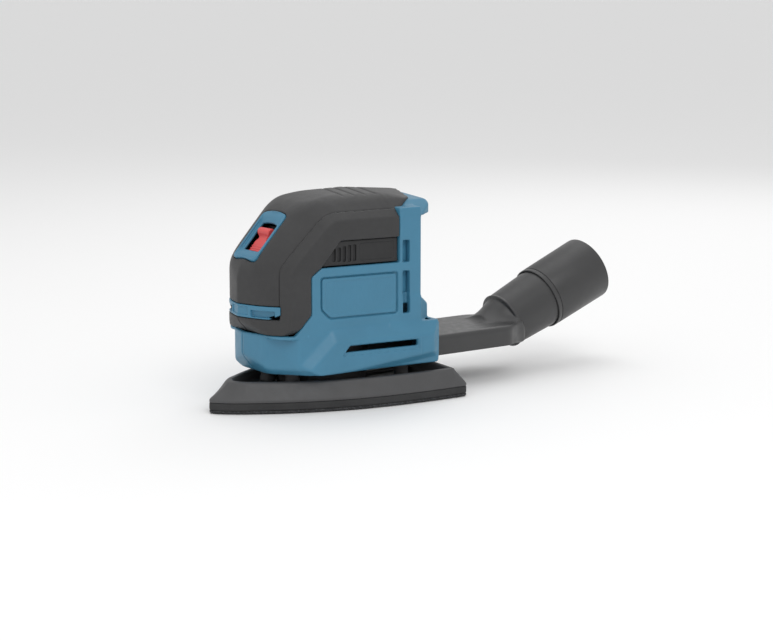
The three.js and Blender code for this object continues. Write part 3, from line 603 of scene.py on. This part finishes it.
def make_band():
    g = G((-56.5, -31, 50), (-41.5, 31, 58.5), 0.32)
    U = f_upper(g, chin=True)
    shell = np.maximum(U + 0.1, -(U + 3.0))
    f = smax(shell, g.xz([(-90, BAND_Z0), (-46.7, BAND_Z0), (-42.8, 53.4), (-42.8, BAND_Z1), (-90, BAND_Z1)]), 0.5)
    # a shallow face between two rims
    face = smax(abs(g.z - 54.4) - 2.1, abs(g.y) - 7.6, 0.6)
    f = smax(f, -np.maximum(face, -(U + 0.75)), 0.4)
    slot = smax(abs(abs(g.y) - 15.8) - 6.6, abs(g.z - 53.4) - 1.75, 0.6)
    f = smax(f, -mx(slot, g.x + 44.2, -(U + 2.0)), 0.4)
    return piece(mesh_of("nose_band", g, f), "nose_vent_band")


# ---------------------------------------------------------------- blue housing
def make_housing():
    g = G((-55, -45.5, 19.5), (52, 0.6, 112), H)
    U = f_upper(g, chin=True)
    lf = f_lower_front(g)
    side = f_side(g)
    upper = mx(U, g.x - 26.6, DECK_Z - 2 - g.z)
    low = smax(smax(side, lf, 1.0), smax(FLOOR_Z - g.z, g.x - HOOK_X, 2.0), 1.2)
    low = smax(low, g.z - (DECK_Z + 0.4), 0.7)
    rear = g.both(thr(0.574, -0.819, 0, 39.5, -38.6, 0))
    fl = smax(g.both(thr(-SLOPE_S, -1, 0, 0, -FLANK_Y, 0)), g.both(thr(-0.1, -0.863, 0.494, 0, -FLANK_Y, 37)), 0.6)
    fl = smax(fl, g.both(thr(-0.474, -0.774, 0.416, -13.8, -36.4, 38)), 0.6)
    fl = smax(fl, g.both(thr(0, -0.7, -0.7, 0, -FLANK_Y, 22)), 0.7)
    fl = smax(fl, lf, 0.7)
    fl = smax(fl, g.both(thr(0.574, -0.819, 0, 45.5, -43.2, 0)), 1.2)
    fl = smax(fl, smax(FLOOR_Z - g.z, g.x - HOOK_X, 2.4), 1.4)
    fl = np.maximum(fl, g.z - 44)
    column = smax(smax(side, g.x - COLUMN_X, 1.4), g.z - 107, 1.0)
    column = mx(column, 20.7 - g.x, DECK_Z - 2 - g.z)
    hook = smax(smax(side, rear, 2.2), g.z - smin(112 - 0.0805 * abs(g.y) + 0 * g.x, HOOK_C(g), 0.5), 0.7)
    hook = smax(smax(hook, g.x - HOOK_X, 2.4), 101.8 - g.z, 1.0)
    hook = np.maximum(hook, 24 - g.x)
    step = smax(smax(side, rear, 1.6), g.plane(thr(0.5, 0, 0.87, 40, 0, 58)), 1.6)
    step = mx(smax(smax(step, g.x - 50, 2.0), g.z - 58, 0.6), 20.7 - g.x, DECK_Z - 2 - g.z)
    # the tongue of the crown grip sits in a seat
    outer = smin(smin(low, fl, 0.9), smin(column, step, 1.2), 1.6)
    outer = smin(outer, hook, 1.0)
    outer = smin(outer, upper, 0.5)
    # hollow inside
    upper_in = mx(U + 3.0, g.x - 20.7, DECK_Z - 2 - g.z)
    low_in = mx(side + 3.0, lf + 3.0, FLOOR_Z + WALL - g.z, g.x - (HOOK_X - WALL), g.z - (DECK_Z + 2))
    mid_in = mx(side + 3.0, lf + 3.0, g.x - 36, 30 - g.z, g.z - 54)
    fl_in = mx(g.both(thr(-SLOPE_S, -1, 0, 0, -FLANK_Y, 0)) + 3, g.both(thr(-0.1, -0.863, 0.494, 0, -FLANK_Y, 37)) + 3,
               g.both(thr(-0.474, -0.774, 0.416, -13.8, -36.4, 38)) + 3, g.both(thr(0, -0.7, -0.7, 0, -FLANK_Y, 22)) + 3,
               lf + 3, FLOOR_Z + WALL - g.z, g.x - (HOOK_X - WALL), g.z - 41)
    hook_in = g.box(18, 48.3, -23, 23, 105, 107.4)
    cavity = mn(upper_in, low_in, mid_in, fl_in, hook_in)
    f = np.maximum(outer, -cavity)
    f = smax(f, -np.maximum(g.xz(rounded(DARK_IN, 0.8)), g.x - 26.6), 0.8)
    # battery bay, terminal window, latch windows
    f = smax(f, -g.box(BAY_X, 70, -33.8, 33.8, 59, 101.8, 0.8), 0.8)
    f = np.maximum(f, -g.box(20, 30, -26, 26, 62, 99))
    f = smax(f, -g.box(28.5, 32.7, -60, 60, 77.2, 89.1, 0.4), 0.6)
    f = smax(f, -g.box(28.5, 32.7, -60, 60, 60.6, 72.4, 0.4), 0.6)
    f = smax(f, -g.box(28.5, 32.7, -60, -34.5, 49.2, 61.5, 0.4), 0.6)
    # flank slot with a sunk surround
    slot = g.xz(rounded([(-9.3, 31.3), (-6.5, 34.6), (35.6, 34.6), (35.6, 31.3)], 0.6))
    sunk = g.xz(rounded([(-11.0, 29.4), (-6.3, 35.0), (36.0, 35.0), (36.0, 29.4)], 0.6))
    f = smax(f, -np.maximum(slot, g.y + 29), 0.4)
    f = smax(f, -np.maximum(sunk, -(g.both(thr(-SLOPE_S, -1, 0, 0, -FLANK_Y, 0)) + 0.8)), 0.4)
    # seam line of the flank: the rear upright
    fy = g.both(thr(-SLOPE_S, -1, 0, 0, -FLANK_Y, 0))
    rearline = mx(abs(g.x - 37.8) - 0.3, g.z - 35.4, 22.5 - g.z, -(fy + 0.25))
    f = smax(f, -rearline, 0.3)
    # badge recess
    badge = g.xz(rounded([(-21.4, 72.3), (25.3, 72.3), (25.3, 50.6), (24.0, 49.4), (-15.9, 49.4), (-21.4, 54.6)], 1.6))
    rec = np.maximum(badge, -(side + 1.3))
    f = smax(f, -np.maximum(rec, g.x - 26.2), 0.9)
    # motor opening, duct opening, leg spigots
    r = np.sqrt(g.x ** 2 + g.y ** 2)
    f = smax(f, -mx(r - 19, g.z - 30), 0.6)
    f = smax(f, -g.box(47, 60, -17, 17, 22.6, 30.6, 0.6), 0.6)
    for x, y in ((-27.5, -12.5), (36, -25)):
        f = np.maximum(f, -mx(np.sqrt((g.x - x) ** 2 + (g.y - y) ** 2) - 2.2, g.z - 26))
    f = np.maximum(f, g.y + GAP / 2)
    plain = f
    # screw pockets on the right half only; the field is the left half's mirror
    pocket = None
    for x, z in ((-33, 34), (43, 28.5), (36, 96), (36.2, 66)):
        q = mx(np.sqrt((g.x - x) ** 2 + (g.z - z) ** 2) - 3.1, g.y + side_y(x, z) - 2.1)
        pocket = q if pocket is None else np.minimum(pocket, q)
    right = smax(plain, -np.maximum(pocket, -g.y - 90), 0.4)
    piece(mesh_of("left_housing_shell", g, plain), "left_housing")
    piece(mesh_of("right_housing_shell", g, right, mirror=True), "right_housing")


def side_y(x, z):
    return (FLANK_Y if z < 37 and x > -20 else SIDE_Y) + SLOPE_S * x


def make_badges():
    g = G((-21.5, -38, 49.5), (26, -30, 72), 0.34)
    s = f_side(g)
    o = g.xz(rounded([(-20.5, 71.5), (24.5, 71.5), (24.5, 51.0), (23.6, 50.2), (-15.6, 50.2), (-20.5, 54.9)], 1.4))
    f = smax(np.maximum(o, -(s + 1.1)), s + 0.35, 0.5)
    inner = g.xz(rounded([(-18.6, 69.7), (22.8, 69.7), (22.8, 52.4), (22.2, 51.9), (-14.9, 51.9), (-18.6, 55.6)], 1.0))
    f = smax(f, -np.maximum(inner, -(s + 0.62)), 0.35)
    for name, m in (("left_badge", False), ("right_badge", True)):
        piece(mesh_of(name + "_plate", g, f, mirror=m), name)


# ---------------------------------------------------------------- pad
SOLE = [(-71.6, 1.6), (-70.4, 3.3), (-66, 7.5), (-60, 12.2), (-48, 19.8), (-36, 26.2), (-23, 31.8), (-10, 36.4), (3, 40), (23, 43.4), (43, 45.3), (65, 46.2), (66.7, 45), (68.6, 24)]
RIM = [(-59.6, 2.6), (-58.2, 5.6), (-55, 8.9), (-48, 13.6), (-39, 19.4), (-28, 25.2), (-16, 30.2), (-3, 34.4), (10, 37.7), (27, 40.6), (43, 42), (58.4, 42.7), (60.2, 41.4), (62.2, 24)]


def smooth_half(pts, a, b, n=6):
    """The outline with its flowing stretch a..b turned into a spline."""
    out = list(pts[:a])
    for i in range(a, b):
        p0, p1, p2, p3 = (np.array(pts[max(j, a - 1)] if j >= 0 else pts[0], float) for j in (i - 1, i, i + 1, i + 2))
        for k in range(n):
            t = k / n
            out.append(tuple(0.5 * (2 * p1 + (p2 - p0) * t + (2 * p0 - 5 * p1 + 4 * p2 - p3) * t * t + (3 * p1 - p0 - 3 * p2 + p3) * t ** 3)))
    return out + list(pts[b:])


def outline(half, tip, rear):
    return [(tip, 0)] + [(x, -y) for x, y in half] + [(rear, 0)] + list(reversed(half))


SOLE_XY = outline(smooth_half(SOLE, 2, 11), -72, 69.3)
RIM_XY = outline(smooth_half(RIM, 2, 11), -60, 63)
HOLES = [(17.6 * math.cos(math.radians(a)), 17.6 * math.sin(math.radians(a))) for a in range(0, 360, 60)] + [(-46, 0)]
LEGS = [(-27.5, -12.5), (-27.5, 12.5), (36, -25), (36, 25)]
ECC = 0.8


def make_pad():
    g = G((-72.5, -47, 5), (70, 47, 16.5), 0.58)
    so, ri = g.xy(SOLE_XY), g.xy(RIM_XY)
    t = np.clip((g.z - 7.4) / (16.0 - 7.4), 0, 1)
    skirt = (so + 0.25) * (1 - t) + ri * t
    wall = smax(so, g.z - 7.4, 0.7)
    f = np.minimum(wall, np.maximum(skirt * 0.72, 6.0 - g.z))
    f = smax(f, g.z - 16.0, 0.9)
    f = smax(f, 5.6 - g.z, 0.2)
    pan = smax(ri + 3.2 + 0.12 * (16 - g.z), 9.2 - g.z, 2.0)
    f = smax(f, -pan, 0.9)
    # ribs in the pan, the bearing boss and the leg bosses
    rib = mn(mx(abs(g.y) - 0.9, abs(g.x - 22) - 40), *[mx(abs((g.x - 3) * math.sin(a) - g.y * math.cos(a)) - 0.9, ri + 3) for a in (0.62, -0.62)])
    f = smin(f, mx(smax(rib, g.z - 10.9, 0.4), ri + 2.6, 7 - g.z), 0.6)
    rb = np.sqrt((g.x - ECC) ** 2 + g.y ** 2)
    f = smin(f, mx(smax(rb - 13.6, g.z - 15.4, 0.8), 7 - g.z), 0.8)
    for x, y in LEGS:
        f = smin(f, mx(smax(np.sqrt((g.x - x) ** 2 + (g.y - y) ** 2) - 5.2, g.z - 10.4, 0.5), 7 - g.z), 0.7)
    f = np.maximum(f, -mx(rb - 11.2, 8.7 - g.z))
    f = np.maximum(f, -mx(rb - 6, g.z - 10))
    for x, y in HOLES:
        f = smax(f, -(np.sqrt((g.x - x) ** 2 + (g.y - y) ** 2) - 3.4), 0.5)
    for x, y in LEGS:
        f = np.maximum(f, -(np.sqrt((g.x - x) ** 2 + (g.y - y) ** 2) - 2.1))
    piece(mesh_of("pad_tray", g, f), "pad_plate")

    for name, node, z0, z1, k, extra in (("foam_cushion", "foam_pad", 1.55, 5.52, 0.25, 3.4), ("hook_backing", "hook_sheet", 0.0, 1.5, 0.25, 0)):
        g = G((-72.5, -47, z0 - 0.3), (70, 47, z1 + 0.3), 0.5)
        so = g.xy(SOLE_XY)
        f = smax(smax(so, g.z - z1, k), z0 - g.z, k)
        for x, y in HOLES:
            f = smax(f, -(np.sqrt((g.x - x) ** 2 + (g.y - y) ** 2) - 3.4), 0.4)
        if extra:
            for x, y in LEGS:
                f = np.maximum(f, -(np.sqrt((g.x - x) ** 2 + (g.y - y) ** 2) - extra))
        piece(mesh_of(name, g, f), node)


def make_legs():
    """Rubber posts: waisted, with rounded flanges."""
    prof = [(0, 10.7), (4.1, 10.7), (4.5, 11.0), (4.5, 12.1), (4.3, 12.6), (3.9, 13.2), (3.8, 14.0), (3.8, 16.2), (3.95, 17.0), (4.35, 17.6), (4.5, 18.0), (4.5, 19.3), (4.3, 19.7), (1.9, 19.7), (1.9, 24.7), (1.6, 25), (0, 25)]
    for (x, y), name in zip(LEGS, ("front_left_leg", "front_right_leg", "rear_left_leg", "rear_right_leg")):
        piece(lathe(name + "_post", prof, (x, y), 40), name)


def lathe(name, prof, at, n):
    bm = bmesh.new()
    rings = []
    for r, z in prof:
        if r < 1e-6:
            rings.append([bm.verts.new((at[0] * MM, at[1] * MM, z * MM))])
        else:
            rings.append([bm.verts.new(((at[0] + r * math.cos(2 * math.pi * i / n)) * MM, (at[1] + r * math.sin(2 * math.pi * i / n)) * MM, z * MM)) for i in range(n)])
    for a, b in zip(rings, rings[1:]):
        for i in range(n):
            j = (i + 1) % n
            if len(a) == 1:
                bm.faces.new((a[0], b[j], b[i]))
            elif len(b) == 1:
                bm.faces.new((a[i], a[j], b[0]))
            else:
                bm.faces.new((a[i], a[j], b[j], b[i]))
    bmesh.ops.recalc_face_normals(bm, faces=bm.faces)
    me = bpy.data.meshes.new(name)
    bm.to_mesh(me)
    bm.free()
    me.polygons.foreach_set("use_smooth", np.ones(len(me.polygons), bool))
    me.set_sharp_from_angle(angle=math.radians(40))
    o = bpy.data.objects.new(name, me)
    bpy.context.scene.collection.objects.link(o)
    return o


def turned(name, prof, n):
    """A closed outline of (radius, height) turned about Z."""
    m = len(prof)
    verts = [(r * math.cos(2 * math.pi * i / n) * MM, r * math.sin(2 * math.pi * i / n) * MM, z * MM) for r, z in prof for i in range(n)]
    faces = [(j * n + i, j * n + (i + 1) % n, ((j + 1) % m) * n + (i + 1) % n, ((j + 1) % m) * n + i) for j in range(m) for i in range(n)]
    me = bpy.data.meshes.new(name)
    me.from_pydata(verts, [], faces)
    bm = bmesh.new()
    bm.from_mesh(me)
    bmesh.ops.recalc_face_normals(bm, faces=bm.faces)
    bm.to_mesh(me)
    bm.free()
    me.polygons.foreach_set("use_smooth", np.ones(len(me.polygons), bool))
    me.set_sharp_from_angle(angle=math.radians(30))
    o = bpy.data.objects.new(name, me)
    bpy.context.scene.collection.objects.link(o)
    return o


def make_screws():
    """Torx pan heads in the right half."""
    for i, (x, z) in enumerate(((-33, 34), (43, 28.5), (36, 96), (36.2, 66))):
        lo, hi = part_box("housing_screw_%d" % (i + 1))
        c, y0, y1 = (lo + hi) / 2 / MM, lo.y / MM, hi.y / MM
        g = G((x - 3, y0, z - 3), (x + 3, y1, z + 3), 0.14)
        r = np.sqrt((g.x - x) ** 2 + (g.z - z) ** 2)
        f = smax(smax(r - 2.7, g.y - y1 + 0.05 * r * r * 0.5, 0.5), y0 - g.y, 0.1)
        a = np.arctan2(g.z - z, g.x - x)
        star = r - (1.15 + 0.22 * np.cos(6 * a))
        f = smax(f, -np.maximum(star, (y1 - 1.0) - g.y), 0.12)
        piece(mesh_of("torx_screw_%d" % (i + 1), g, f), "housing_screw_%d" % (i + 1))


# ---------------------------------------------------------------- dust adapter
def make_adapter():
    g = G((41, -24.6, 10), (163, 0.3, 62), H)
    g = G((41, -24.6, 10), (166, 24.6, 62), 0.6)
    R, s, w = g.tube()
    ay = abs(g.y)
    top = 31.2
    sect = smax(smax(ay - 24, g.z - top, 1.0), 0.7071 * (ay + g.z) - 0.7071 * (24 + top - 1.6), 1.2)
    sect = smax(sect, 19.2 - g.z, 1.2)
    taper = (ay - (24 - 0.56 * (g.x - 116))) * 0.872
    duct = smax(smax(sect, 52 - g.x, 0.5), smax(taper, s - 0.5, 0), 1.5)
    # the scoop between the duct's roof and the tube's mouth
    scoop = smax(R - (15.0 + 0.33 * np.clip(s, -20, 1)), s - 1.2, 0.2)
    scoop = mx(scoop, -13 - s, 19.2 - g.z)
    body = smin(duct, scoop, 7.0)
    body = smax(body, 19.2 - g.z - np.clip(0.35 * (g.x - 120), 0, 8), 0.8)
    rad = 16.3 + (18 - 16.3) * np.clip(s, 0, 33) / 33
    tube = smax(R - rad, np.maximum(-s, s - 33), 0.7)
    lip = smax(np.sqrt((R - 16.15) ** 2 + (s - 0.75) ** 2) - 0.75, -s - 1, 0.1)
    body = smin(body, smin(tube, lip, 0.4), 0.5)
    spig = g.box(42, 54, -16.4, 16.4, 23.0, 30.3, 0.8)
    body = smin(body, spig, 0.3)
    # the passage through it
    inner_duct = smax(smax(ay - 22, g.z - 29.2, 1.0), 21.2 - g.z, 1.0)
    inner_duct = mx(smax(inner_duct, taper + 2.2, 1.0), 54 - g.x, s - 1.5)
    inner_scoop = mx(R - (12.6 + 0.33 * np.clip(s, -20, 1)), s - 1.5, -13 - s, 21.2 - g.z)
    inner_tube = mx(R - (rad - 2), -0.2 - s)
    inner = mn(smin(inner_duct, inner_scoop, 4.0), inner_tube, g.box(30, 56, -15.2, 15.2, 24.2, 29.1, 0.5))
    f = smax(body, -inner, 0.5)
    piece(mesh_of("dust_duct", g, f), "dust_adapter")

    prof = [(18.25, 29.6), (18.7, 29.5), (18.95, 29.8), (18.98, 31.5), (18.9, 31.8), (18.55, 32.0), (18.55, 32.5), (18.9, 32.7), (19.0, 33.0), (19.45, 70.2), (19.4, 70.7), (19.1, 71.0),
            (18.2, 71.0), (17.95, 70.7), (17.9, 70.2), (16.6, 35.6), (16.4, 35.2), (16.4, 33.7), (16.7, 33.4), (18.25, 33.3)]
    o = turned("hose_sleeve", prof, 96)
    o.data.transform(Matrix.Translation((TA[0] * MM, 0, TA[1] * MM)) @ Matrix.Rotation(math.pi / 2 - TILT, 4, "Y"))
    piece(o, "outlet_sleeve")


make_top_grip()
make_bezel()
make_slider()
make_side_grips()
make_vent_panels()
make_band()
make_housing()
make_badges()
make_pad()
make_legs()
make_screws()
make_adapter()

# carried-over CAD nodes: soften their edges
for n, o in frame["nodes"].items():
    if not o.hide_render:
        m = o.modifiers.new("soft_edges", "BEVEL")
        m.width = 0.00025
        m.segments = 2
        m.limit_method = "ANGLE"
        m.angle_limit = math.radians(35)
        m.harden_normals = False

# ---------------------------------------------------------------- floor, light
def floor():
    me = bpy.data.meshes.new("floor")
    s = 60.0
    me.from_pydata([(-s, -s, -0.0004), (s, -s, -0.0004), (s, s, -0.0004), (-s, s, -0.0004)], [], [(0, 1, 2, 3)])
    o = bpy.data.objects.new("floor", me)
    bpy.context.scene.collection.objects.link(o)

    def build(nt, b):
        co = nt.nodes.new("ShaderNodeTexCoord")
        t = nd(nt, "ShaderNodeTexNoise", Scale=3.0, Detail=2.0)
        nt.links.new(co.outputs["Object"], t.inputs["Vector"])
        r = nt.nodes.new("ShaderNodeMapRange")
        r.inputs["To Min"].default_value = 0.78
        r.inputs["To Max"].default_value = 0.88
        nt.links.new(t.outputs["Fac"], r.inputs["Value"])
        nt.links.new(r.outputs["Result"], b.inputs["Roughness"])
        b.inputs["Base Color"].default_value = (0.93, 0.93, 0.93, 1)

    me.materials.append(material("floor_paper", build))


floor()
world = bpy.data.worlds.new("studio")
bpy.context.scene.world = world
world.use_nodes = True
world.node_tree.nodes["Background"].inputs["Color"].default_value = (1, 1, 1, 1)
world.node_tree.nodes["Background"].inputs["Strength"].default_value = 0.75


def area(name, at, look, size, power, colour=(1, 1, 1)):
    d = bpy.data.lights.new(name, "AREA")
    d.shape = "RECTANGLE"
    d.size, d.size_y = size
    d.energy = power
    d.color = colour
    o = bpy.data.objects.new(name, d)
    bpy.context.scene.collection.objects.link(o)
    o.location = at
    o.rotation_euler = (Vector(look) - Vector(at)).to_track_quat("-Z", "Y").to_euler()
    return o


area("key", (-0.25, -0.9, 0.95), (0.03, 0, 0.06), (0.7, 0.5), 3.6)
area("top", (0.1, 0.15, 1.2), (0.03, 0, 0.05), (0.9, 0.9), 2.4)
area("front", (-1.1, -0.15, 0.45), (-0.02, 0, 0.06), (0.5, 0.7), 0.8)
area("rear", (0.9, 0.5, 0.7), (0.05, 0, 0.05), (0.6, 0.6), 1.2)
bpy.context.scene.view_settings.view_transform = "Standard"
